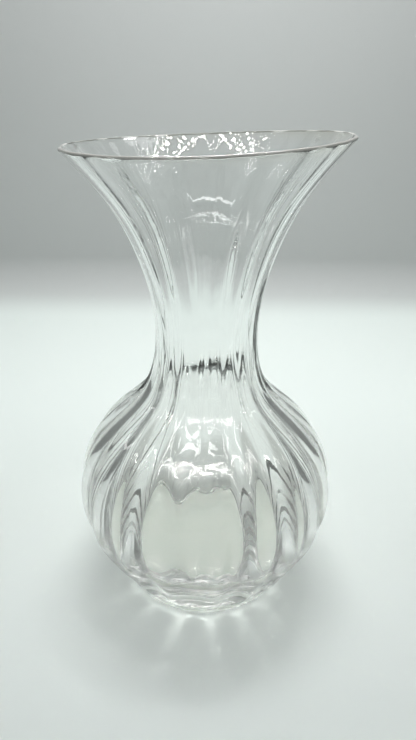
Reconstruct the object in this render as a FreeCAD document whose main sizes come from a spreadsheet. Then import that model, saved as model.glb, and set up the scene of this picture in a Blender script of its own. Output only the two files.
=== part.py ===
import FreeCAD, Part
import math
import os
import Sketcher

os.makedirs("parts", exist_ok=True)
doc = FreeCAD.newDocument("FanVase")

# Driving sizes, in millimetres unless the note says otherwise
SIZES = (
    ("overall_height", 215.0, "resting plane to the outer edge of the rim, before it leans"),
    ("rim_radius", 59.6, "axis to the outside of the rim, on a rib"),
    ("neck_radius", 24.1, "axis to the outside of the neck, on a rib"),
    ("neck_height", 137.0, "resting plane to the narrowest place"),
    ("globe_radius", 64.0, "axis to the widest place of the globe, on a rib"),
    ("globe_height", 49.0, "resting plane to the widest place of the globe"),
    ("seat_radius", 43.2, "axis to the edge of the body's flat seat on the foot"),
    ("rim_wall", 1.5, "glass at the fire-polished rim"),
    ("mouth_wall", 1.8, "glass half way up the flare"),
    ("neck_wall", 2.3, "glass at the neck"),
    ("globe_wall", 4.6, "glass at the widest place of the globe, on a rib"),
    ("shoulder_wall", 4.4, "glass on the globe's shoulder, where it has not thinned out yet"),
    ("heel_wall", 5.6, "glass low on the globe, where it turns into the bottom"),
    ("bottom_wall", 17.0, "glass under the flat inner floor, without the foot"),
    ("floor_radius", 34.0, "axis to the edge of the flat inner floor"),
    ("floor_margin", 4.0, "ring of that floor in which the heel's curve levels out"),
    ("heel_rise", 12.0, "height over the inner floor at which the heel's curve begins"),
    ("rib_count", 20, "number of ribs round the body"),
    ("rib_turn", 1.5, "degrees from the front to the first rib, to the right"),
    ("rib_drift", 3.0, "degrees by which the hand-blown ribs wander"),
    ("globe_rib", 2.2, "depth of the ribs on the globe"),
    ("shoulder_rib", 2.0, "depth of the ribs on the shoulder, where they begin to fade"),
    ("neck_rib", 0.3, "depth of the ribs at the neck, where they are almost melted away"),
    ("mouth_rib", 0.9, "depth of the ribs half way up the flare"),
    ("rim_rib", 0.5, "depth of the ribs at the rim"),
    ("rib_start", 0.6, "height over the seat at which the ribs begin"),
    ("rib_run", 6.0, "height in which they reach their full depth"),
    ("rim_lean", 2.6, "rise of the rim at its right side, and fall at its left"),
    ("rim_wave", 0.6, "rise of both sides of the rim over its front and back"),
    ("foot_radius", 42.2, "axis to the outside of the foot"),
    ("foot_height", 4.6, "resting plane to the top of the foot"),
    ("foot_edge", 1.4, "rounding at the bottom of the foot's side"),
    ("hollow_radius", 31.0, "axis to the edge of the hollow under the foot"),
    ("hollow_depth", 1.6, "depth of that hollow at the axis"),
)

# Outline shares, chosen by hand: height and radius between two of the driving places
HEEL_SHARES = ((0.07, 0.16), (0.19, 0.35), (0.34, 0.53), (0.52, 0.735), (0.74, 0.92))
SHOULDER_SHARES = ((0.13, 0.018), (0.32, 0.168), (0.515, 0.53), (0.66, 0.85), (0.81, 0.972))
FLARE_SHARES = ((0.22, 0.06), (0.445, 0.207), (0.665, 0.428), (0.86, 0.733))

# Counts that set how finely the skin is drawn
POLES_PER_RIB = 6
WALL_STEPS = 42
RIM_STEPS = 6
HEEL_STEPS = 9
SKIN_DEGREE = 3

# How much of the ribs the inside of the wall follows; below zero the glass is thicker
# still on a rib. Then the ways up the shoulder at which the ribs begin to fade and end
INNER_RIB_SHARE = -0.3
RIB_FALL_SHARE = 0.45
RIB_FADE_SHARE = 0.85

# Some ribs are deeper than others, by this share, in this many waves round the body,
# and one of the deepest is at this turn in radians
UNEVEN_SHARE = 0.25
UNEVEN_LOBES = 7
DEEPEST_TURN = 0.29

# The ribs wander in this many slow waves round the body, from this turn in radians
DRIFT_LOBES = 2
DRIFT_PHASE = 0.7

MM3_PER_CM3 = 1000.0


def make_sheet():
    """Keep every driving size in one spreadsheet, each under its own alias."""
    sizes = doc.addObject("Spreadsheet::Sheet", "Sizes")
    for row, (alias, value, note) in enumerate(SIZES, start=1):
        sizes.set("A%d" % row, note)
        sizes.set("B%d" % row, str(value))
        sizes.setAlias("B%d" % row, alias)
    doc.recompute()
    return sizes


sheet = make_sheet()


def size(alias):
    """Read one size from the sheet as a plain number."""
    value = getattr(sheet, alias)
    return float(getattr(value, "Value", value))


def blend(share):
    """Ease from 0 to 1 with a level start and end."""
    share = min(max(share, 0.0), 1.0)
    return share * share * (3.0 - 2.0 * share)


def by_height(height, stations):
    """Ease between the values of (height, value) stations."""
    if height <= stations[0][0]:
        return stations[0][1]
    for (low, low_value), (high, high_value) in zip(stations, stations[1:]):
        if height <= high:
            return low_value + (high_value - low_value) * blend((height - low) / (high - low))
    return stations[-1][1]


def outer_points():
    """Points of the body's outer outline, from its seat to the rim, in the XZ plane."""
    places = (
        (size("seat_radius"), size("foot_height")),
        (size("globe_radius"), size("globe_height")),
        (size("neck_radius"), size("neck_height")),
        (size("rim_radius"), size("overall_height")),
    )
    points = [places[0]]
    spans = zip(places, places[1:], (HEEL_SHARES, SHOULDER_SHARES, FLARE_SHARES))
    for (radius, height), (next_radius, next_height), shares in spans:
        for height_share, radius_share in shares:
            points.append((radius + radius_share * (next_radius - radius),
                           height + height_share * (next_height - height)))
        points.append((next_radius, next_height))
    return [FreeCAD.Vector(radius, 0, height) for radius, height in points]


def shoulder_height(share):
    """Height of a place on the shoulder, by its share of the way from globe to neck."""
    return size("globe_height") + share * (size("neck_height") - size("globe_height"))


def wall_at(height):
    """Thickness of the glass at a height of the outer outline, without the ribs."""
    return by_height(height, (
        (size("foot_height"), size("heel_wall")),
        (0.5 * (size("foot_height") + size("globe_height")), size("heel_wall")),
        (size("globe_height"), size("globe_wall")),
        (shoulder_height(RIB_FALL_SHARE), size("shoulder_wall")),
        (size("neck_height"), size("neck_wall")),
        (0.5 * (size("neck_height") + size("overall_height")), size("mouth_wall")),
        (size("overall_height"), size("rim_wall")),
    ))


def rib_at(height):
    """Depth of the ribs at a height of the outer outline."""
    start = size("foot_height") + size("rib_start")
    return by_height(height, (
        (start, 0.0),
        (start + size("rib_run"), size("globe_rib")),
        (size("globe_height"), size("globe_rib")),
        (shoulder_height(RIB_FALL_SHARE), size("shoulder_rib")),
        (shoulder_height(RIB_FADE_SHARE), size("neck_rib")),
        (size("neck_height"), size("neck_rib")),
        (0.5 * (size("neck_height") + size("overall_height")), size("mouth_rib")),
        (size("overall_height"), size("rim_rib")),
    ))


def rib_angle(turn):
    """Phase of the ribs at a turn round the body, both in radians, zero on a crest."""
    drift = math.radians(size("rib_drift")) * math.cos(DRIFT_LOBES * turn - DRIFT_PHASE)
    return size("rib_count") * (turn - math.radians(size("rib_turn")) - drift)


def strength_at(turn):
    """Share of their full depth that the ribs have at a turn round the body, in radians."""
    return 1.0 + UNEVEN_SHARE * math.cos(UNEVEN_LOBES * (turn - DEEPEST_TURN))


def lean_at(height, x, y):
    """Rise of the leaning, waved mouth at a place; none below the neck."""
    share = (height - size("neck_height")) / (size("overall_height") - size("neck_height"))
    across, along = x / size("rim_radius"), y / size("rim_radius")
    wave = across ** 2 - along ** 2
    return blend(share) * (size("rim_lean") * across + size("rim_wave") * wave)


def ring(radius, height, rib_depth=0.0):
    """One closed row of poles round the axis, with ribs cut in to a depth."""
    count = int(size("rib_count")) * POLES_PER_RIB
    lift = 3.0 / (2.0 + math.cos(2.0 * math.pi / POLES_PER_RIB))
    poles = []
    for step in range(count):
        turn = 2.0 * math.pi * step / count
        groove = 0.5 * rib_depth * strength_at(turn) * (1.0 - lift * math.cos(rib_angle(turn)))
        x = (radius - groove) * math.sin(turn)
        y = -(radius - groove) * math.cos(turn)
        poles.append(FreeCAD.Vector(x, y, height + lean_at(height, x, y)))
    return poles


def outline_curve():
    """Smooth meridian through the outer points."""
    curve = Part.BSplineCurve()
    curve.interpolate(outer_points())
    return curve


def outward(curve, parameter):
    """Unit normal of the meridian, away from the axis."""
    along = curve.tangent(parameter)[0]
    return FreeCAD.Vector(along.z, 0, -along.x)


def wall_rows():
    """Rows of poles up the outer wall, over the rim and down the inner wall to the heel."""
    curve = outline_curve()
    places = curve.discretize(Number=WALL_STEPS)
    outer, inner = [], []
    floor_height = size("foot_height") + size("bottom_wall")
    heel_height = floor_height + size("heel_rise")
    for place in places:
        away = outward(curve, curve.parameter(place))
        depth = rib_at(place.z)
        outer.append(ring(place.x, place.z, depth))
        within = place - away * wall_at(place.z)
        if within.z > heel_height:
            inner.append((within, INNER_RIB_SHARE * depth))
    rim = places[-1]
    away = outward(curve, curve.LastParameter)
    up = FreeCAD.Vector(-away.z, 0, away.x)
    middle = rim - away * (0.5 * size("rim_wall"))
    rounds = []
    for step in range(1, RIM_STEPS):
        bend = math.pi * step / RIM_STEPS
        place = middle + (away * math.cos(bend) + up * math.sin(bend)) * (0.5 * size("rim_wall"))
        rounds.append(ring(place.x, place.z, size("rim_rib")))
    inner.reverse()
    return outer, rounds, inner


def heel_rows(last, last_depth):
    """Rows from the lowest place of the inner wall round the heel to the flat inner floor."""
    floor_height = size("foot_height") + size("bottom_wall")
    rows = []
    for step in range(1, HEEL_STEPS + 1):
        bend = 0.5 * math.pi * step / HEEL_STEPS
        across = math.cos(bend)
        down = math.sin(bend)
        radius = size("floor_radius") + (last.x - size("floor_radius")) * across
        height = last.z + (floor_height - last.z) * down
        rows.append(ring(radius, height, last_depth * across))
    rows.append(ring(size("floor_radius") - size("floor_margin"), floor_height))
    return rows


def skin_surface(rows):
    """One smooth surface over closed rows of poles."""
    ends = SKIN_DEGREE + 1
    inner_knots = len(rows) - ends
    row_mults = [ends] + [1] * inner_knots + [ends]
    row_knots = [float(knot) for knot in range(inner_knots + 2)]
    count = len(rows[0])
    turn_mults = [1] * (count + 1)
    turn_knots = [float(knot) for knot in range(count + 1)]
    surface = Part.BSplineSurface()
    surface.buildFromPolesMultsKnots(rows, row_mults, turn_mults, row_knots, turn_knots,
                                     False, True, SKIN_DEGREE, SKIN_DEGREE)
    return surface


def body_shape():
    """The blown body as one solid: its skin, its flat seat and its flat inner floor."""
    outer, rounds, inner = wall_rows()
    last, last_depth = inner[-1]
    inner_rings = [ring(place.x, place.z, depth) for place, depth in inner]
    rows = outer + rounds + inner_rings + heel_rows(last, last_depth)
    skin = skin_surface(rows).toShape()
    closed = [edge for edge in skin.Edges if edge.isClosed()]
    lids = [Part.Face(Part.Wire([edge])) for edge in closed]
    shell = Part.Shell([skin] + lids)
    shell.sewShape()
    return Part.Solid(shell)


def make_body():
    """Add the blown body to the document."""
    body = doc.addObject("Part::Feature", "body")
    body.Label = "body"
    body.Shape = body_shape()
    body.Placement = FreeCAD.Placement()
    return body


def origin_plane(body, role):
    """Find one of a body's own origin planes."""
    return next(item for item in body.Origin.OriginFeatures if item.Role == role)


def make_foot():
    """The pressed foot: a turned disc with a rounded edge and a shallow hollow below."""
    foot = doc.addObject("PartDesign::Body", "foot")
    foot.Label = "foot"
    sketch = foot.newObject("Sketcher::SketchObject", "foot_outline")
    sketch.AttachmentSupport = [(origin_plane(foot, "XZ_Plane"), "")]
    sketch.MapMode = "FlatFace"
    radius, height, edge = size("foot_radius"), size("foot_height"), size("foot_edge")
    ring_radius, rise = size("hollow_radius"), size("hollow_depth")
    vector, normal = FreeCAD.Vector, FreeCAD.Vector(0, 0, 1)
    dome = (ring_radius ** 2 + rise ** 2) / (2.0 * rise)
    spread = math.asin(ring_radius / dome)
    corner = 0.5 * math.pi
    edge_circle = Part.Circle(vector(radius - edge, edge, 0), normal, edge)
    dome_circle = Part.Circle(vector(0, rise - dome, 0), normal, dome)
    lines = (
        Part.LineSegment(vector(0, rise, 0), vector(0, height, 0)),
        Part.LineSegment(vector(0, height, 0), vector(radius, height, 0)),
        Part.LineSegment(vector(radius, height, 0), vector(radius, edge, 0)),
        Part.ArcOfCircle(edge_circle, -corner, 0),
        Part.LineSegment(vector(radius - edge, 0, 0), vector(ring_radius, 0, 0)),
        Part.ArcOfCircle(dome_circle, corner - spread, corner),
    )
    axis, top, side, rounding, land, hollow = [sketch.addGeometry(line, False) for line in lines]
    start, end, centre = 1, 2, 3
    across, upright = -1, -2
    rules = (
        ("Coincident", axis, end, top, start),
        ("Coincident", top, end, side, start),
        ("Tangent", side, end, rounding, end),
        ("Tangent", rounding, start, land, start),
        ("Coincident", land, end, hollow, start),
        ("Coincident", hollow, end, axis, start),
        ("PointOnObject", axis, start, upright),
        ("PointOnObject", axis, end, upright),
        ("PointOnObject", hollow, centre, upright),
        ("PointOnObject", land, start, across),
        ("PointOnObject", land, end, across),
        ("Horizontal", top),
        ("Vertical", side),
    )
    for rule in rules:
        sketch.addConstraint(Sketcher.Constraint(*rule))
    measures = (
        ("foot_radius", ("DistanceX", across, start, side, start, radius)),
        ("foot_height", ("DistanceY", across, start, top, start, height)),
        ("foot_edge", ("Radius", rounding, edge)),
        ("hollow_radius", ("DistanceX", across, start, land, end, ring_radius)),
        ("hollow_depth", ("DistanceY", across, start, axis, start, rise)),
    )
    for alias, measure in measures:
        index = sketch.addConstraint(Sketcher.Constraint(*measure))
        sketch.renameConstraint(index, alias)
        sketch.setExpression("Constraints." + alias, "Sizes." + alias)
    turned = foot.newObject("PartDesign::Revolution", "foot_turned")
    turned.Profile = sketch
    turned.ReferenceAxis = (sketch, ["V_Axis"])
    turned.Angle = 360
    foot.Tip = turned
    foot.Placement = FreeCAD.Placement()
    return foot


def check_document():
    """Stop if any object of the document failed to build."""
    for item in doc.Objects:
        if "Invalid" in item.State or "Error" in item.State:
            raise RuntimeError("%s did not build" % item.Name)


def write_pieces(pieces):
    """Check each piece's solid, then write it under the piece's own name."""
    for piece in pieces:
        if piece.Shape.isNull() or not piece.Shape.isValid():
            raise RuntimeError("%s has no valid solid" % piece.Label)
    for piece in pieces:
        piece.Shape.exportStep("parts/%s.step" % piece.Label)
        print("%s: %.1f cm3" % (piece.Label, piece.Shape.Volume / MM3_PER_CM3))


vase = (make_body(), make_foot())
doc.recompute()
check_document()
write_pieces(vase)
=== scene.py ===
import logging
import math
from dataclasses import dataclass, field
from enum import Enum
from typing import Sequence

import bpy
import numpy as np
from mathutils import Matrix


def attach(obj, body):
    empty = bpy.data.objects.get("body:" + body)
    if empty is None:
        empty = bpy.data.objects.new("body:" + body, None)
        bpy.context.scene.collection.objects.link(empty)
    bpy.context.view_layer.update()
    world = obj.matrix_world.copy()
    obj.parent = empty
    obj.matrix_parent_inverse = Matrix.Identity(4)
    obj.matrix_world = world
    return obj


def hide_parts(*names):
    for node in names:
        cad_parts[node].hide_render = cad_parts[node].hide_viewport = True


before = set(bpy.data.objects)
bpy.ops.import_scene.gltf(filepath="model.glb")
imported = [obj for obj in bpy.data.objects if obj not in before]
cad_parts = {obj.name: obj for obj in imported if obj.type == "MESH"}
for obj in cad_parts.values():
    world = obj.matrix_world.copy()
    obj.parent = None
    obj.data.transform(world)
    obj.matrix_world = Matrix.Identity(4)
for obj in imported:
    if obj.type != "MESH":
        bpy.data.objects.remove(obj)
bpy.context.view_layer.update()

IMAGE_WIDTH, IMAGE_HEIGHT = 416, 740
ROOT_BODY = "root"
SHARPEST_SMOOTH = math.radians(40.0)
SPLINE_FACTOR = 6.0

log = logging.getLogger("fan_vase")
Colour = tuple[float, float, float, float]


class Zone(Enum):
    """Material slots of a glass piece."""

    GLASS = 0
    SEAL = 1
    LIP = 2


def ease(share: np.ndarray | float) -> np.ndarray | float:
    """Ease from 0 to 1 with a level start and end."""
    share = np.clip(share, 0.0, 1.0)
    return share * share * (3.0 - 2.0 * share)


def by_height(height: float, stations: Sequence[tuple[float, float]]) -> float:
    """Ease between values that are given at some heights.

    Args:
        height: The height asked for, in metres.
        stations: Pairs of a height and the value there, from low to high.

    Returns:
        The value at that height.
    """
    if height <= stations[0][0]:
        return stations[0][1]
    for (low, low_value), (high, high_value) in zip(stations, stations[1:]):
        if height <= high:
            return low_value + (high_value - low_value) * ease((height - low) / (high - low))
    return stations[-1][1]


@dataclass
class SmoothLine:
    """A natural cubic spline through points of a half section, by distance along it."""

    points: Sequence[tuple[float, float]]
    marks: np.ndarray = field(init=False)
    bends: np.ndarray = field(init=False)
    values: np.ndarray = field(init=False)

    def __post_init__(self) -> None:
        """Solve for the second derivatives at the points."""
        self.values = np.array(self.points, float)
        gaps = np.linalg.norm(np.diff(self.values, axis=0), axis=1)
        self.marks = np.concatenate(([0.0], np.cumsum(gaps)))
        count = len(self.values)
        system, right = np.eye(count), np.zeros((count, 2))
        for i in range(1, count - 1):
            before, after = gaps[i - 1], gaps[i]
            system[i, i - 1:i + 2] = before, 2.0 * (before + after), after
            slope_after = (self.values[i + 1] - self.values[i]) / after
            slope_before = (self.values[i] - self.values[i - 1]) / before
            right[i] = SPLINE_FACTOR * (slope_after - slope_before)
        self.bends = np.linalg.solve(system, right)

    def at(self, mark: float) -> np.ndarray:
        """Give the point at a distance along the line."""
        i = int(np.clip(np.searchsorted(self.marks, mark) - 1, 0, len(self.marks) - 2))
        gap = self.marks[i + 1] - self.marks[i]
        far, near = (self.marks[i + 1] - mark) / gap, (mark - self.marks[i]) / gap
        bow = ((far ** 3 - far) * self.bends[i] + (near ** 3 - near) * self.bends[i + 1])
        chord = far * self.values[i] + near * self.values[i + 1]
        return chord + bow * gap * gap / SPLINE_FACTOR

    def heading(self, mark: float, step: float = 1e-5) -> np.ndarray:
        """Give the unit direction of the line at a distance along it."""
        low, high = max(mark - step, 0.0), min(mark + step, self.marks[-1])
        run = self.at(high) - self.at(low)
        return run / np.linalg.norm(run)


@dataclass
class Ribs:
    """The optic ribs, as a pattern round the axis. Turns run from the front to the right."""

    count: int = 20
    first: float = math.radians(1.5)
    drift: float = math.radians(3.0)
    drift_lobes: int = 2
    drift_phase: float = 0.7
    unevenness: float = 0.25
    uneven_lobes: int = 7
    deepest: float = math.radians(16.7)

    def groove(self, turns: np.ndarray, depth: float) -> np.ndarray:
        """Tell how far the wall lies inside its crests.

        Args:
            turns: Turns round the axis, in radians.
            depth: Mean depth of the ribs there, in metres.

        Returns:
            The depth below the crest at each turn.
        """
        drift = self.drift * np.cos(self.drift_lobes * turns - self.drift_phase)
        phase = self.count * (turns - self.first - drift)
        strength = 1.0 + self.unevenness * np.cos(self.uneven_lobes * (turns - self.deepest))
        return 0.5 * depth * strength * (1.0 - np.cos(phase))


@dataclass
class HandWork:
    """Slow waves that blowing and turning by hand leave in a wall, in metres and radians."""

    waves: Sequence[tuple[float, int, float, float]]

    def shift(self, turns: np.ndarray, height: float) -> np.ndarray:
        """Sum the waves: each has a reach, lobes round the axis, a rise per metre and a phase.

        Args:
            turns: Turns round the axis, in radians.
            height: Height of the place, in metres.

        Returns:
            How far the wall is moved out; never above zero, so that it only moves in.
        """
        total = np.zeros_like(turns)
        for reach, lobes, rise, phase in self.waves:
            total += reach * (np.sin(lobes * turns + rise * height + phase) - 1.0)
        return total


@dataclass
class Outline:
    """Sizes of the vase's half section, in metres."""

    overall_height: float = 0.215
    rim_radius: float = 0.0596
    neck_radius: float = 0.0241
    neck_height: float = 0.137
    globe_radius: float = 0.064
    globe_height: float = 0.049
    seat_radius: float = 0.0432
    rim_wall: float = 0.0015
    mouth_wall: float = 0.0018
    neck_wall: float = 0.0023
    globe_wall: float = 0.0046
    shoulder_wall: float = 0.0044
    heel_wall: float = 0.0056
    bottom_wall: float = 0.017
    floor_radius: float = 0.034
    floor_margin: float = 0.004
    heel_rise: float = 0.012
    globe_rib: float = 0.0022
    shoulder_rib: float = 0.0020
    neck_rib: float = 0.0003
    mouth_rib: float = 0.0009
    rim_rib: float = 0.0005
    lip_sink: float = 0.00003
    rib_start: float = 0.0006
    rib_run: float = 0.006
    fall_share: float = 0.45
    fade_share: float = 0.85
    inner_rib_share: float = -0.3
    rim_lean: float = 0.0026
    rim_wave: float = 0.0006
    foot_radius: float = 0.0422
    foot_height: float = 0.0046
    foot_edge: float = 0.0014
    hollow_radius: float = 0.031
    hollow_depth: float = 0.0016
    heel_shares: tuple = ((0.07, 0.16), (0.19, 0.35), (0.34, 0.53), (0.52, 0.735), (0.74, 0.92))
    shoulder_shares: tuple = ((0.13, 0.018), (0.32, 0.168), (0.515, 0.53), (0.66, 0.85), (0.81, 0.972))
    flare_shares: tuple = ((0.22, 0.06), (0.445, 0.207), (0.665, 0.428), (0.86, 0.733))

    @property
    def inner_floor(self) -> float:
        """Height of the flat floor inside the globe."""
        return self.foot_height + self.bottom_wall

    def outer_line(self) -> SmoothLine:
        """Draw the outside of the body from its seat to the rim."""
        places = (
            (self.seat_radius, self.foot_height),
            (self.globe_radius, self.globe_height),
            (self.neck_radius, self.neck_height),
            (self.rim_radius, self.overall_height),
        )
        points = [places[0]]
        spans = (self.heel_shares, self.shoulder_shares, self.flare_shares)
        for (radius, height), (next_radius, next_height), shares in zip(places, places[1:], spans):
            for height_share, radius_share in shares:
                points.append((radius + radius_share * (next_radius - radius),
                               height + height_share * (next_height - height)))
            points.append((next_radius, next_height))
        return SmoothLine(points)

    def shoulder_height(self, share: float) -> float:
        """Height of a place on the shoulder, by its share of the way from globe to neck."""
        return self.globe_height + share * (self.neck_height - self.globe_height)

    def wall_at(self, height: float) -> float:
        """Thickness of the glass at a height of the outer line."""
        return by_height(height, (
            (self.foot_height, self.heel_wall),
            (0.5 * (self.foot_height + self.globe_height), self.heel_wall),
            (self.globe_height, self.globe_wall),
            (self.shoulder_height(self.fall_share), self.shoulder_wall),
            (self.neck_height, self.neck_wall),
            (0.5 * (self.neck_height + self.overall_height), self.mouth_wall),
            (self.overall_height, self.rim_wall),
        ))

    def rib_at(self, height: float) -> float:
        """Depth of the ribs at a height of the outer line."""
        start = self.foot_height + self.rib_start
        return by_height(height, (
            (start, 0.0),
            (start + self.rib_run, self.globe_rib),
            (self.globe_height, self.globe_rib),
            (self.shoulder_height(self.fall_share), self.shoulder_rib),
            (self.shoulder_height(self.fade_share), self.neck_rib),
            (self.neck_height, self.neck_rib),
            (0.5 * (self.neck_height + self.overall_height), self.mouth_rib),
            (self.overall_height, self.rim_rib),
        ))

    def lean(self, height: float, x: np.ndarray, y: np.ndarray) -> np.ndarray:
        """Tell how far the leaning, waved mouth rises at a place, not at all below the neck.

        Args:
            height: Height of the place on a level vase.
            x: Places to the right of the axis.
            y: Places behind the axis.

        Returns:
            The rise at each place.
        """
        share = (height - self.neck_height) / (self.overall_height - self.neck_height)
        across, along = x / self.rim_radius, y / self.rim_radius
        return ease(share) * (self.rim_lean * across + self.rim_wave * (across ** 2 - along ** 2))


@dataclass
class Ring:
    """One closed row of points round the axis."""

    radius: float
    height: float
    rib: float = 0.0
    work: HandWork | None = None
    work_share: float = 1.0
    zone: Zone = Zone.GLASS


@dataclass
class Turned:
    """A mesh over rings, closed by a point on the axis at each end."""

    outline: Outline
    ribs: Ribs
    columns: int = 280

    def points(self, ring: Ring) -> np.ndarray:
        """Place the points of one ring."""
        turns = np.arange(self.columns) * (2.0 * math.pi / self.columns)
        radius = ring.radius - self.ribs.groove(turns, ring.rib)
        if ring.work:
            radius = radius + ring.work_share * ring.work.shift(turns, ring.height)
        x, y = radius * np.sin(turns), -radius * np.cos(turns)
        z = ring.height + self.outline.lean(ring.height, x, y)
        return np.stack([x, y, z], axis=1)

    def mesh(self, name: str, rings: Sequence[Ring], first_disc: Zone = Zone.GLASS,
             last_disc: Zone = Zone.GLASS) -> bpy.types.Object:
        """Join rings into one closed mesh.

        Args:
            name: The piece's name.
            rings: Rings from the lowest disc, out and round, to the last disc.
            first_disc: Material slot of the disc inside the first ring.
            last_disc: Material slot of the disc inside the last ring.

        Returns:
            The new object, with smooth shading and its normals outwards.
        """
        count = self.columns
        rows = [self.points(ring) for ring in rings]
        ends = np.array([[0.0, 0.0, rings[0].height], [0.0, 0.0, rings[-1].height]])
        places = np.concatenate(rows + [ends])
        first, last = len(places) - 2, len(places) - 1
        here = np.arange(count)
        after = (here + 1) % count
        faces, zones = [], []
        for i in range(len(rings) - 1):
            low, high = i * count, (i + 1) * count
            band = np.stack([low + here, low + after, high + after, high + here], axis=1)
            faces += band.tolist()
            zones += [rings[i].zone.value] * count
        top = (len(rings) - 1) * count
        faces += np.stack([after, here, np.full(count, first)], axis=1).tolist()
        faces += np.stack([top + here, top + after, np.full(count, last)], axis=1).tolist()
        zones += [first_disc.value] * count + [last_disc.value] * count
        mesh = bpy.data.meshes.new(name)
        mesh.from_pydata(places.tolist(), [], faces)
        mesh.polygons.foreach_set("material_index", zones)
        mesh.polygons.foreach_set("use_smooth", [True] * len(faces))
        mesh.update()
        mesh.set_sharp_from_angle(angle=SHARPEST_SMOOTH)
        piece = bpy.data.objects.new(name, mesh)
        bpy.context.collection.objects.link(piece)
        return piece


@dataclass
class GlassBody:
    """The blown body: globe, neck and flared mouth in one wall, open at the top."""

    outline: Outline
    ribs: Ribs
    outer_work: HandWork
    inner_work: HandWork
    wall_rows: int = 150
    heel_rows: int = 26
    rim_rows: int = 8
    seat_rows: int = 4
    seat_round: float = 0.0006

    def seat_rings(self) -> list[Ring]:
        """Lay the underside: the hot seal on the foot, then a rounded edge up to the wall."""
        line = self.outline
        rings = [Ring(line.foot_radius, line.foot_height)]
        middle = line.seat_radius - self.seat_round
        for step in range(self.seat_rows + 1):
            bend = 0.5 * math.pi * step / self.seat_rows
            rings.append(Ring(middle + self.seat_round * math.sin(bend),
                              line.foot_height + self.seat_round * (1.0 - math.cos(bend))))
        return rings

    def wall_rings(self) -> tuple[list[Ring], list[Ring]]:
        """Lay the outer wall from the seat to the rim, and the inner wall back to the heel."""
        line, curve = self.outline, self.outline.outer_line()
        heel_height = line.inner_floor + line.heel_rise
        outer, inner = [], []
        for mark in np.linspace(0.0, curve.marks[-1], self.wall_rows):
            radius, height = curve.at(mark)
            away = curve.heading(mark)[::-1] * (1.0, -1.0)
            rib = line.rib_at(height)
            if height > line.foot_height + self.seat_round:
                outer.append(Ring(radius, height, rib, self.outer_work))
            within = np.array([radius, height]) - away * line.wall_at(height)
            if within[1] > heel_height:
                inner.append(Ring(within[0], within[1], line.inner_rib_share * rib, self.inner_work))
        inner.reverse()
        return outer, inner

    def rim_rings(self) -> list[Ring]:
        """Round the fire-polished rim over from the outside to the inside."""
        line, curve = self.outline, self.outline.outer_line()
        tip, half = curve.at(curve.marks[-1]), 0.5 * line.rim_wall
        up = curve.heading(curve.marks[-1])
        away = up[::-1] * (1.0, -1.0)
        rings = []
        for step in range(1, self.rim_rows):
            bend = math.pi * step / self.rim_rows
            rise = (half - line.lip_sink) * math.sin(bend)
            place = tip + away * half * (math.cos(bend) - 1.0) + up * rise
            rings.append(Ring(place[0], place[1], line.rim_rib, self.outer_work, zone=Zone.LIP))
        return rings

    def heel_rings(self, last: Ring) -> list[Ring]:
        """Round the inner wall in to the flat floor inside."""
        line, rings = self.outline, []
        for step in range(1, self.heel_rows + 1):
            bend = 0.5 * math.pi * step / self.heel_rows
            across, down = max(math.cos(bend), 0.0), math.sin(bend)
            radius = line.floor_radius + (last.radius - line.floor_radius) * across
            height = last.height + (line.inner_floor - last.height) * down
            rings.append(Ring(radius, height, last.rib * across, self.inner_work, across))
        rings.append(Ring(line.floor_radius - line.floor_margin, line.inner_floor))
        return rings

    def build(self) -> bpy.types.Object:
        """Model the body as one closed mesh."""
        outer, inner = self.wall_rings()
        rings = self.seat_rings() + outer + self.rim_rings() + inner + self.heel_rings(inner[-1])
        turned = Turned(self.outline, self.ribs)
        return turned.mesh("glass_body", rings, first_disc=Zone.SEAL)


@dataclass
class GlassFoot:
    """The pressed foot disc: hollowed below, rounded at its edge, sealed hot to the body."""

    outline: Outline
    ribs: Ribs
    hollow_rows: int = 14
    edge_rows: int = 8
    side_rows: int = 6

    def build(self) -> bpy.types.Object:
        """Model the foot as one closed mesh."""
        line, rings = self.outline, []
        for step in range(1, self.hollow_rows + 1):
            share = step / self.hollow_rows
            rings.append(Ring(share * line.hollow_radius, line.hollow_depth * (1.0 - share ** 2)))
        for step in range(self.edge_rows + 1):
            bend = 0.5 * math.pi * step / self.edge_rows
            rings.append(Ring(line.foot_radius - line.foot_edge * (1.0 - math.sin(bend)),
                              line.foot_edge * (1.0 - math.cos(bend))))
        rise = line.foot_height - line.foot_edge
        for step in range(1, self.side_rows + 1):
            rings.append(Ring(line.foot_radius, line.foot_edge + rise * step / self.side_rows))
        return Turned(line, self.ribs).mesh("glass_foot", rings, last_disc=Zone.SEAL)


def new_group(name: str, inputs: Sequence[tuple[str, str, object]],
              outputs: Sequence[tuple[str, str]]) -> bpy.types.NodeTree:
    """Start a shader node group with named sockets.

    Args:
        name: The group's name.
        inputs: Name, socket kind and default of each input.
        outputs: Name and socket kind of each output.

    Returns:
        The group, with its Group Input and Group Output nodes named "in" and "out".
    """
    group = bpy.data.node_groups.new(name, "ShaderNodeTree")
    for label, kind, value in inputs:
        socket = group.interface.new_socket(label, in_out="INPUT", socket_type="NodeSocket" + kind)
        socket.default_value = value
    for label, kind in outputs:
        group.interface.new_socket(label, in_out="OUTPUT", socket_type="NodeSocket" + kind)
    group.nodes.new("NodeGroupInput").name = "in"
    group.nodes.new("NodeGroupOutput").name = "out"
    return group


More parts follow.
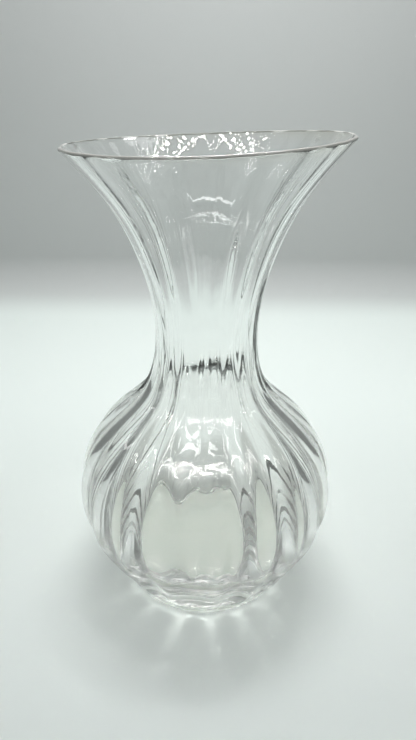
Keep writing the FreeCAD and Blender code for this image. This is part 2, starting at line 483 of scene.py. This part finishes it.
@dataclass
class Wiring:
    """Short calls for adding and linking nodes in one tree."""

    tree: bpy.types.NodeTree

    def add(self, kind: str, settings: dict | None = None, **inputs: object) -> bpy.types.Node:
        """Add a node.

        Args:
            kind: The node type without its "ShaderNode" prefix.
            settings: Properties of the node itself.
            **inputs: Sockets by name, with _ for a space: a plain value, or a socket to link.

        Returns:
            The new node.
        """
        node = self.tree.nodes.new("ShaderNode" + kind)
        for label, value in (settings or {}).items():
            setattr(node, label, value)
        for label, value in inputs.items():
            self.feed(node.inputs[label.replace("_", " ")], value)
        return node

    def feed(self, socket: bpy.types.NodeSocket, value: object) -> None:
        """Link a socket to another, or set its plain value."""
        if isinstance(value, bpy.types.NodeSocket):
            self.tree.links.new(value, socket)
        else:
            socket.default_value = value

    def sum_up(self, operation: str, *terms: object) -> bpy.types.NodeSocket:
        """Add a Math node over up to three terms and give its result."""
        node = self.add("Math", {"operation": operation})
        for socket, term in zip(node.inputs, terms):
            self.feed(socket, term)
        return node.outputs[0]

    def blend(self, factor: object, low: object, high: object) -> bpy.types.NodeSocket:
        """Mix two colours.

        Args:
            factor: How much of the second colour is taken, from 0 to 1.
            low: The colour where the factor is 0.
            high: The colour where the factor is 1.

        Returns:
            The socket of the mixed colour.
        """
        node = self.add("Mix", {"data_type": "RGBA"})
        self.feed(node.inputs["Factor"], factor)
        for socket, colour in zip([item for item in node.inputs if item.type == "RGBA"], (low, high)):
            self.feed(socket, colour)
        return [item for item in node.outputs if item.type == "RGBA"][0]

    def stretch(self, value: object, low: object, high: object, at_low: float = 0.0,
                at_high: float = 1.0) -> bpy.types.NodeSocket:
        """Ease a value between two limits.

        Args:
            value: The value to follow.
            low: The limit below which nothing changes.
            high: The limit above which nothing changes.
            at_low: The result at the low limit.
            at_high: The result at the high limit.

        Returns:
            The socket of the eased value.
        """
        node = self.add("MapRange", {"interpolation_type": "SMOOTHSTEP"}, Value=value,
                        From_Min=low, From_Max=high, To_Min=at_low, To_Max=at_high)
        return node.outputs["Result"]


class GlassGroups:
    """Shader node groups that the glass finishes share, each built once."""

    def __init__(self) -> None:
        """Build both groups."""
        self.cords = self.drawn_cords()
        self.marks = self.handling_marks()

    def drawn_cords(self) -> bpy.types.NodeTree:
        """Build fine cords drawn out along the blown wall, as a height."""
        group = new_group("drawn_cords", (
            ("Cords across", "Float", 180.0), ("Cords along", "Float", 20.0),
            ("Swirl", "Float", 0.4), ("Finer cords", "Float", 2.0),
        ), (("Height", "Float"),))
        wires = Wiring(group)
        given, out = group.nodes["in"], group.nodes["out"]
        place = wires.add("TexCoord").outputs["Object"]
        size = wires.add("CombineXYZ", X=given.outputs["Cords across"],
                         Y=given.outputs["Cords across"], Z=given.outputs["Cords along"])
        drawn = wires.add("VectorMath", {"operation": "MULTIPLY"})
        wires.feed(drawn.inputs[0], place)
        wires.feed(drawn.inputs[1], size.outputs[0])
        noise = wires.add("TexNoise", Vector=drawn.outputs[0], Scale=1.0,
                          Detail=given.outputs["Finer cords"], Distortion=given.outputs["Swirl"])
        wires.feed(out.inputs["Height"], noise.outputs["Fac"])
        return group

    def handling_marks(self) -> bpy.types.NodeTree:
        """Build faint wiped smears and settled dust, as two masks."""
        group = new_group("handling_marks", (
            ("Smear size", "Float", 28.0), ("Smear reach", "Float", 0.62),
            ("Smear streaks", "Float", 4.0), ("Smear raggedness", "Float", 0.6),
            ("Smear swirl", "Float", 1.2), ("Smear edge", "Float", 0.12),
            ("Dust size", "Float", 900.0), ("Dust reach", "Float", 0.76), ("Dust edge", "Float", 0.03),
        ), (("Smears", "Float"), ("Dust", "Float")))
        wires = Wiring(group)
        given, out = group.nodes["in"], group.nodes["out"]
        place = wires.add("TexCoord").outputs["Object"]
        broad = wires.add("TexNoise", Vector=place, Scale=given.outputs["Smear size"],
                          Detail=given.outputs["Smear streaks"],
                          Roughness=given.outputs["Smear raggedness"],
                          Distortion=given.outputs["Smear swirl"])
        edge = wires.sum_up("SUBTRACT", broad.outputs["Fac"], given.outputs["Smear reach"])
        smears = wires.stretch(edge, 0.0, given.outputs["Smear edge"])
        grains = wires.add("TexNoise", Vector=place, Scale=given.outputs["Dust size"], Detail=1.0)
        speck = wires.sum_up("SUBTRACT", grains.outputs["Fac"], given.outputs["Dust reach"])
        wires.feed(out.inputs["Smears"], smears)
        wires.feed(out.inputs["Dust"], wires.stretch(speck, 0.0, given.outputs["Dust edge"]))
        return group


@dataclass(frozen=True)
class ClearGlass:
    """Clear soda glass, blown or pressed, with its tint, painted shade low in the body, cords and
    marks of use.
    """

    name: str
    tint: Colour = (0.985, 0.992, 0.988, 1.0)
    # Painted shade: this grey darkens the glass low in the body, standing in for the floor's shadow
    # seen through the thick heel.
    heel_shade_tint: Colour = (0.69, 0.685, 0.672, 1.0)
    heel_low: float = 0.030
    heel_high: float = 0.040
    # Partly the thick glass's own absorption and partly painted shade: this faint grey dims the globe
    # and shoulder.
    deep_tint_and_shade: Colour = (0.950, 0.951, 0.944, 1.0)
    deep_low: float = 0.085
    deep_high: float = 0.135
    edge_tint: Colour = (0.985, 0.965, 0.90, 1.0)
    edge_low: float = 0.211
    edge_high: float = 0.221
    shadow_share: float = 0.79
    thin_shadow_share: float = 0.90
    shadow_low: float = 0.070
    shadow_high: float = 0.120
    refraction: float = 1.5
    polish: float = 0.0
    smear_haze: float = 0.035
    dust_haze: float = 0.25
    cord_depth: float = 0.00007
    cord_strength: float = 1.0
    lip_cord_strength: float = 0.5
    cords_fade_low: float = 0.178
    cords_fade_high: float = 0.200
    cords_across: float = 180.0
    cords_along: float = 20.0
    cord_swirl: float = 0.4

    def colour(self, wires: Wiring, height: bpy.types.NodeSocket) -> bpy.types.NodeSocket:
        """Tint the glass by its height: painted shade greys the heel, and a fainter grey of painted
        shade and the glass's own absorption dims globe and shoulder; clear in the neck, warm at the
        rim.
        """
        over_heel = wires.stretch(height, self.heel_low, self.heel_high)
        low_shaded_tint = wires.blend(over_heel, self.heel_shade_tint, self.deep_tint_and_shade)
        thinned = wires.stretch(height, self.deep_low, self.deep_high)
        shaded_wall_tint = wires.blend(thinned, low_shaded_tint, self.tint)
        edge = wires.stretch(height, self.edge_low, self.edge_high)
        return wires.blend(edge, shaded_wall_tint, self.edge_tint)

    def wear(self, wires: Wiring, marks: bpy.types.NodeTree) -> bpy.types.NodeSocket:
        """Roughen the polish where it is smeared or dusty."""
        masks = wires.add("Group", {"node_tree": marks})
        smear = wires.sum_up("MULTIPLY_ADD", masks.outputs["Smears"], self.smear_haze, self.polish)
        return wires.sum_up("MULTIPLY_ADD", masks.outputs["Dust"], self.dust_haze, smear)

    def relief(self, wires: Wiring, cords: bpy.types.NodeTree,
               height: bpy.types.NodeSocket) -> bpy.types.NodeSocket:
        """Bend the surface's normals by the cords, which weaken towards the melted lip.

        Args:
            wires: The material's wiring.
            cords: The group of drawn cords.
            height: Height of the place.

        Returns:
            The bent normal.
        """
        drawn = wires.add("Group", {"node_tree": cords}, Cords_across=self.cords_across,
                          Cords_along=self.cords_along, Swirl=self.cord_swirl)
        strength = wires.stretch(height, self.cords_fade_low, self.cords_fade_high,
                                 self.cord_strength, self.lip_cord_strength)
        bump = wires.add("Bump", Strength=strength, Distance=self.cord_depth,
                         Height=drawn.outputs["Height"])
        return bump.outputs["Normal"]

    def let_shadows_through(self, material: bpy.types.Material, wires: Wiring,
                            glass: bpy.types.Node, height: bpy.types.NodeSocket) -> None:
        """Mix the glass with clear air on shadow rays alone, more where the wall is thin.

        Args:
            material: The material.
            wires: Its wiring.
            glass: Its glass shader.
            height: Height of the place.
        """
        share = wires.stretch(height, self.shadow_low, self.shadow_high, self.shadow_share,
                              self.thin_shadow_share)
        is_shadow = wires.add("LightPath").outputs["Is Shadow Ray"]
        both = wires.add("MixShader", Fac=wires.sum_up("MULTIPLY", is_shadow, share))
        wires.feed(both.inputs[1], glass.outputs["BSDF"])
        wires.feed(both.inputs[2], wires.add("BsdfTransparent").outputs["BSDF"])
        wires.feed(material.node_tree.nodes["Material Output"].inputs["Surface"],
                   both.outputs["Shader"])

    def make(self, groups: GlassGroups) -> bpy.types.Material:
        """Make the material."""
        material = bpy.data.materials.new(self.name)
        material.use_nodes = True
        wires = Wiring(material.node_tree)
        glass = material.node_tree.nodes["Principled BSDF"]
        glass.inputs["IOR"].default_value = self.refraction
        glass.inputs["Transmission Weight"].default_value = 1.0
        place = wires.add("TexCoord").outputs["Object"]
        height = wires.add("SeparateXYZ", Vector=place).outputs["Z"]
        wires.feed(glass.inputs["Base Color"], self.colour(wires, height))
        wires.feed(glass.inputs["Roughness"], self.wear(wires, groups.marks))
        wires.feed(glass.inputs["Normal"], self.relief(wires, groups.cords, height))
        self.let_shadows_through(material, wires, glass, height)
        return material


@dataclass(frozen=True)
class HotSeal:
    """The face where body and foot are fused while hot: no surface is left to see there."""

    name: str = "hot_seal"

    def make(self) -> bpy.types.Material:
        """Make the material."""
        material = bpy.data.materials.new(self.name)
        material.use_nodes = True
        seal = material.node_tree.nodes["Principled BSDF"]
        seal.inputs["Alpha"].default_value = 0.0
        return material


@dataclass(frozen=True)
class FireRim:
    """The rounded lip, partly clear, with a warm grey colour that is painted light, standing in for
    the light that the melted edge gathers from inside the wall.
    """

    name: str = "fire_rim"
    # Painted glow: this pale warm colour makes the lip show as a lit line.
    colour: Colour = (0.90, 0.875, 0.83, 1.0)
    clearness: float = 0.35
    polish: float = 0.08
    refraction: float = 1.5

    def make(self) -> bpy.types.Material:
        """Make the material."""
        material = bpy.data.materials.new(self.name)
        material.use_nodes = True
        lip = material.node_tree.nodes["Principled BSDF"]
        lip.inputs["Base Color"].default_value = self.colour
        lip.inputs["Transmission Weight"].default_value = self.clearness
        lip.inputs["Roughness"].default_value = self.polish
        lip.inputs["IOR"].default_value = self.refraction
        return material


@dataclass(frozen=True)
class TentCloth:
    """The pale cloth of floor and wall, with painted shade: greyer where the wall rises and towards
    the front, dark at the open sides and front.
    """

    name: str = "tent_cloth"
    floor: Colour = (0.83, 0.89, 0.862, 1.0)
    # Painted shade: the floor darkens towards the open front, where less light falls.
    front_shaded_floor: Colour = (0.545, 0.578, 0.562, 1.0)
    front_shade_start: float = -0.20
    front_shade_end: float = 0.30
    # Painted shade: the rising wall is greyer than the floor because less light falls on it.
    wall: Colour = (0.57, 0.585, 0.58, 1.0)
    # Painted shade: the cloth turns dark at the sides and front, standing in for the tent's open,
    # unlit sides.
    dark: Colour = (0.28, 0.288, 0.285, 1.0)
    open_shade_start: float = 0.40
    open_shade_end: float = 0.47
    rise_start: float = 0.375
    rise_end: float = 0.505
    corner_blend: float = 0.05
    roughness: float = 0.9
    shine: float = 0.1

    def make(self) -> bpy.types.Material:
        """Make the material."""
        material = bpy.data.materials.new(self.name)
        material.use_nodes = True
        wires = Wiring(material.node_tree)
        cloth = material.node_tree.nodes["Principled BSDF"]
        cloth.inputs["Roughness"].default_value = self.roughness
        cloth.inputs["Specular IOR Level"].default_value = self.shine
        place = wires.add("TexCoord").outputs["Object"]
        sides = wires.add("SeparateXYZ", Vector=place)
        across = wires.sum_up("ABSOLUTE", sides.outputs["X"])
        along = wires.sum_up("ABSOLUTE", sides.outputs["Y"])
        reach = wires.sum_up("SMOOTH_MAX", across, along, self.corner_blend)
        rise = wires.stretch(reach, self.rise_start, self.rise_end)
        towards = wires.sum_up("MULTIPLY", sides.outputs["Y"], -1.0)
        near = wires.stretch(towards, self.front_shade_start, self.front_shade_end)
        shaded_floor_colour = wires.blend(near, self.floor, self.front_shaded_floor)
        shaded_cloth_colour = wires.blend(rise, shaded_floor_colour, self.wall)
        open_side = wires.sum_up("MAXIMUM", across, towards)
        open_shade = wires.stretch(open_side, self.open_shade_start, self.open_shade_end)
        wires.feed(cloth.inputs["Base Color"], wires.blend(open_shade, shaded_cloth_colour, self.dark))
        return material


@dataclass(frozen=True)
class LampGlow:
    """The glow of the strips' small lamps and of the side tubes."""

    name: str = "lamp_glow"
    colour: Colour = (1.0, 0.99, 0.97, 1.0)
    strength: float = 210.0

    def make(self) -> bpy.types.Material:
        """Make the material."""
        material = bpy.data.materials.new(self.name)
        material.use_nodes = True
        glow = material.node_tree.nodes["Principled BSDF"]
        glow.inputs["Base Color"].default_value = (0.0, 0.0, 0.0, 1.0)
        glow.inputs["Emission Color"].default_value = self.colour
        glow.inputs["Emission Strength"].default_value = self.strength
        material.cycles.emission_sampling = "NONE"
        return material


def stage_mesh(name: str, places: Sequence, faces: Sequence,
               material: bpy.types.Material) -> bpy.types.Object:
    """Add one mesh of the studio.

    Args:
        name: The mesh's name.
        places: Its points.
        faces: Its faces.
        material: Its finish.

    Returns:
        The new object.
    """
    mesh = bpy.data.meshes.new(name)
    mesh.from_pydata(places, [], faces)
    mesh.polygons.foreach_set("use_smooth", [True] * len(faces))
    mesh.materials.append(material)
    made = bpy.data.objects.new(name, mesh)
    bpy.context.collection.objects.link(made)
    return made


@dataclass
class LightTent:
    """The photo tent that the vase stands in: floor, cove and wall in one, square in plan."""

    half_floor: float = 0.46
    cove: float = 0.04
    wall_height: float = 0.80
    level: float = -0.0001
    squareness: float = 7.0
    floor_rows: int = 20
    cove_rows: int = 12
    columns: int = 128

    def build(self) -> bpy.types.Object:
        """Model the tent as one open box with rounded corners."""
        profile = [(self.half_floor * step / self.floor_rows, self.level)
                   for step in range(1, self.floor_rows + 1)]
        for step in range(1, self.cove_rows + 1):
            bend = 0.5 * math.pi * step / self.cove_rows
            profile.append((self.half_floor + self.cove * math.sin(bend),
                            self.level + self.cove * (1.0 - math.cos(bend))))
        profile.append((self.half_floor + self.cove, self.wall_height))
        places, faces = [(0.0, 0.0, self.level)], []
        for reach, height in profile:
            for column in range(self.columns):
                turn = 2.0 * math.pi * column / self.columns
                across, along = math.cos(turn), math.sin(turn)
                power = self.squareness
                reach_here = reach / (abs(across) ** power + abs(along) ** power) ** (1.0 / power)
                places.append((reach_here * across, reach_here * along, height))
        for column in range(self.columns):
            after = (column + 1) % self.columns
            faces.append((0, 1 + column, 1 + after))
            for row in range(len(profile) - 1):
                low, high = 1 + row * self.columns, 1 + (row + 1) * self.columns
                faces.append((low + column, high + column, high + after, low + after))
        return stage_mesh("light_tent", places, faces, TentCloth().make())


@dataclass
class LampStrip:
    """A strip of small square lamps that runs across high in the tent, for the glass to mirror."""

    name: str
    along: float
    height: float
    length: float = 0.62
    lamps: int = 42
    rows: int = 2
    row_gap: float = 0.014
    lamp_size: float = 0.0045

    def build(self, glow: bpy.types.Material) -> bpy.types.Object:
        """Model the strip's lamps in one mesh, facing down."""
        places, faces, half = [], [], 0.5 * self.lamp_size
        for row in range(self.rows):
            y = self.along + self.row_gap * (row - 0.5 * (self.rows - 1))
            for lamp in range(self.lamps):
                x = self.length * (lamp / (self.lamps - 1) - 0.5)
                first = len(places)
                for side, end in ((-half, -half), (-half, half), (half, half), (half, -half)):
                    places.append((x + side, y + end, self.height))
                faces.append(tuple(range(first, first + 4)))
        strip = stage_mesh(self.name, places, faces, glow)
        strip.visible_diffuse = strip.visible_camera = strip.visible_shadow = False
        return strip


@dataclass
class SideTube:
    """A straight glowing band at the tent's side, for the ribs to mirror as streaks."""

    name: str
    across: float
    front: float
    back: float
    height: float
    thickness: float = 0.03

    def build(self, glow: bpy.types.Material) -> bpy.types.Object:
        """Model the tube as one upright band."""
        top = self.height + self.thickness
        places = [(self.across, self.front, self.height), (self.across, self.back, self.height),
                  (self.across, self.back, top), (self.across, self.front, top)]
        tube = stage_mesh(self.name, places, [(0, 1, 2, 3)], glow)
        tube.visible_diffuse = tube.visible_camera = tube.visible_shadow = False
        return tube


@dataclass(frozen=True)
class SoftLamp:
    """One rectangular lamp high in the tent that faces down, in metres and watts."""

    width: float
    depth: float
    place: tuple[float, float, float]
    power: float

    def hang(self, name: str) -> bpy.types.Object:
        """Hang the lamp under a name."""
        data = bpy.data.lights.new(name, "AREA")
        data.shape = "RECTANGLE"
        data.size, data.size_y = self.width, self.depth
        data.energy = self.power
        lamp = bpy.data.objects.new(name, data)
        lamp.location = self.place
        bpy.context.collection.objects.link(lamp)
        return lamp


@dataclass
class TentLamps:
    """Soft bars and a panel high in the tent, and lamps that only mirrored or bent rays see."""

    panel: SoftLamp = SoftLamp(0.60, 0.40, (0.02, 0.30, 0.80), 2.0)
    bars: tuple[SoftLamp, ...] = (
        SoftLamp(0.30, 0.06, (0.03, 0.20, 0.62), 1.4),
        SoftLamp(0.36, 0.025, (0.02, -0.31, 0.62), 0.28),
        SoftLamp(0.26, 0.015, (0.02, -0.35, 0.50), 0.12),
    )
    strips: tuple[tuple[float, float], ...] = (
        (0.04, 0.615), (0.0, 0.615), (-0.34, 0.50), (-0.40, 0.50))
    tubes: tuple[tuple[float, ...], ...] = ((-0.45, -0.32, 0.0, 0.40), (0.45, -0.28, -0.16, 0.40))
    tube_strength: float = 7.0
    world_colour: Colour = (0.85, 0.90, 0.89, 1.0)
    world_strength: float = 0.65

    def build(self) -> None:
        """Hang the lamps and set the world's plain light."""
        self.panel.hang("tent_panel")
        for number, bar in enumerate(self.bars):
            bar.hang(f"tent_bar_{number}")
        glow = LampGlow().make()
        for number, (along, height) in enumerate(self.strips):
            LampStrip(f"lamp_strip_{number}", along, height).build(glow)
        soft_glow = LampGlow("tube_glow", strength=self.tube_strength).make()
        for number, tube in enumerate(self.tubes):
            SideTube(f"side_tube_{number}", *tube).build(soft_glow)
        world = bpy.data.worlds.new("tent_air")
        world.use_nodes = True
        air = world.node_tree.nodes["Background"]
        air.inputs["Color"].default_value = self.world_colour
        air.inputs["Strength"].default_value = self.world_strength
        bpy.context.scene.world = world


@dataclass(frozen=True)
class GlassLightPaths:
    """How far light is followed, so that it gets through all walls of the glass unblurred."""

    bounces: int = 40
    diffuse_bounces: int = 8
    glossy_bounces: int = 12
    filter_glossy: float = 0.0
    brightest_bounce: float = 40.0

    def apply(self) -> None:
        """Set the limits on the scene."""
        paths = bpy.context.scene.cycles
        paths.max_bounces = paths.transmission_bounces = self.bounces
        paths.diffuse_bounces = self.diffuse_bounces
        paths.glossy_bounces = self.glossy_bounces
        paths.blur_glossy = self.filter_glossy
        paths.sample_clamp_indirect = self.brightest_bounce


@dataclass
class StudioCamera:
    """The camera at the photograph's viewing angle."""

    focal_pixels: float = 590.0
    sensor: float = 36.0
    place: tuple[float, float, float] = (0.0009, -0.2555, 0.2337)
    pitch: float = math.radians(25.2)
    roll: float = math.radians(0.45)

    def build(self) -> bpy.types.Object:
        """Set up the camera."""
        data = bpy.data.cameras.new("studio_camera")
        data.sensor_width = self.sensor
        data.lens = self.sensor * self.focal_pixels / max(IMAGE_WIDTH, IMAGE_HEIGHT)
        camera = bpy.data.objects.new("studio_camera", data)
        turn = Matrix.Rotation(math.radians(90.0) - self.pitch, 4, "X")
        camera.matrix_world = (Matrix.Translation(self.place) @ turn
                               @ Matrix.Rotation(self.roll, 4, "Z"))
        bpy.context.collection.objects.link(camera)
        bpy.context.scene.camera = camera
        return camera


@dataclass
class FanVase:
    """The whole vase: the blown body on its pressed foot."""

    outline: Outline = field(default_factory=Outline)
    ribs: Ribs = field(default_factory=Ribs)
    outer_work: HandWork = field(default_factory=lambda: HandWork((
        (0.00016, 2, 19.0, 0.4), (0.00012, 3, -31.0, 1.9), (0.00006, 7, 55.0, 0.8))))
    inner_work: HandWork = field(default_factory=lambda: HandWork((
        (0.00020, 3, 23.0, 2.3), (0.00014, 5, -37.0, 0.2), (0.00008, 8, 71.0, 1.5))))
    # The foot's glass colour: partly its own yellow-green tint and partly painted shade that dims the
    # windows where the floor under the foot shows through.
    pressed_tint_and_shade: Colour = (0.92, 0.935, 0.885, 1.0)

    def dress(self, piece: bpy.types.Object, finishes: Sequence[bpy.types.Material],
              node: str) -> None:
        """Give a piece its finishes and put it in place of its CAD node.

        Args:
            piece: The piece.
            finishes: The finish of each of its zones, in their order.
            node: The CAD node that it replaces.
        """
        for finish in finishes:
            piece.data.materials.append(finish)
        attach(piece, ROOT_BODY)
        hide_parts(node)
        log.info("%s: %d faces", piece.name, len(piece.data.polygons))

    def build(self) -> None:
        """Model and dress both pieces."""
        groups, seal = GlassGroups(), HotSeal().make()
        body = GlassBody(self.outline, self.ribs, self.outer_work, self.inner_work).build()
        blown = ClearGlass("blown_glass").make(groups)
        self.dress(body, (blown, seal, FireRim().make()), "body")
        foot = GlassFoot(self.outline, self.ribs).build()
        pressed = ClearGlass("pressed_glass", heel_shade_tint=self.pressed_tint_and_shade).make(groups)
        self.dress(foot, (pressed, seal), "foot")


def main() -> None:
    """Build the vase and its studio."""
    logging.basicConfig(level=logging.INFO, format="%(name)s: %(message)s")
    FanVase().build()
    LightTent().build()
    TentLamps().build()
    StudioCamera().build()
    GlassLightPaths().apply()
    bpy.context.scene.view_settings.view_transform = "Standard"


if __name__ == "__main__":
    main()
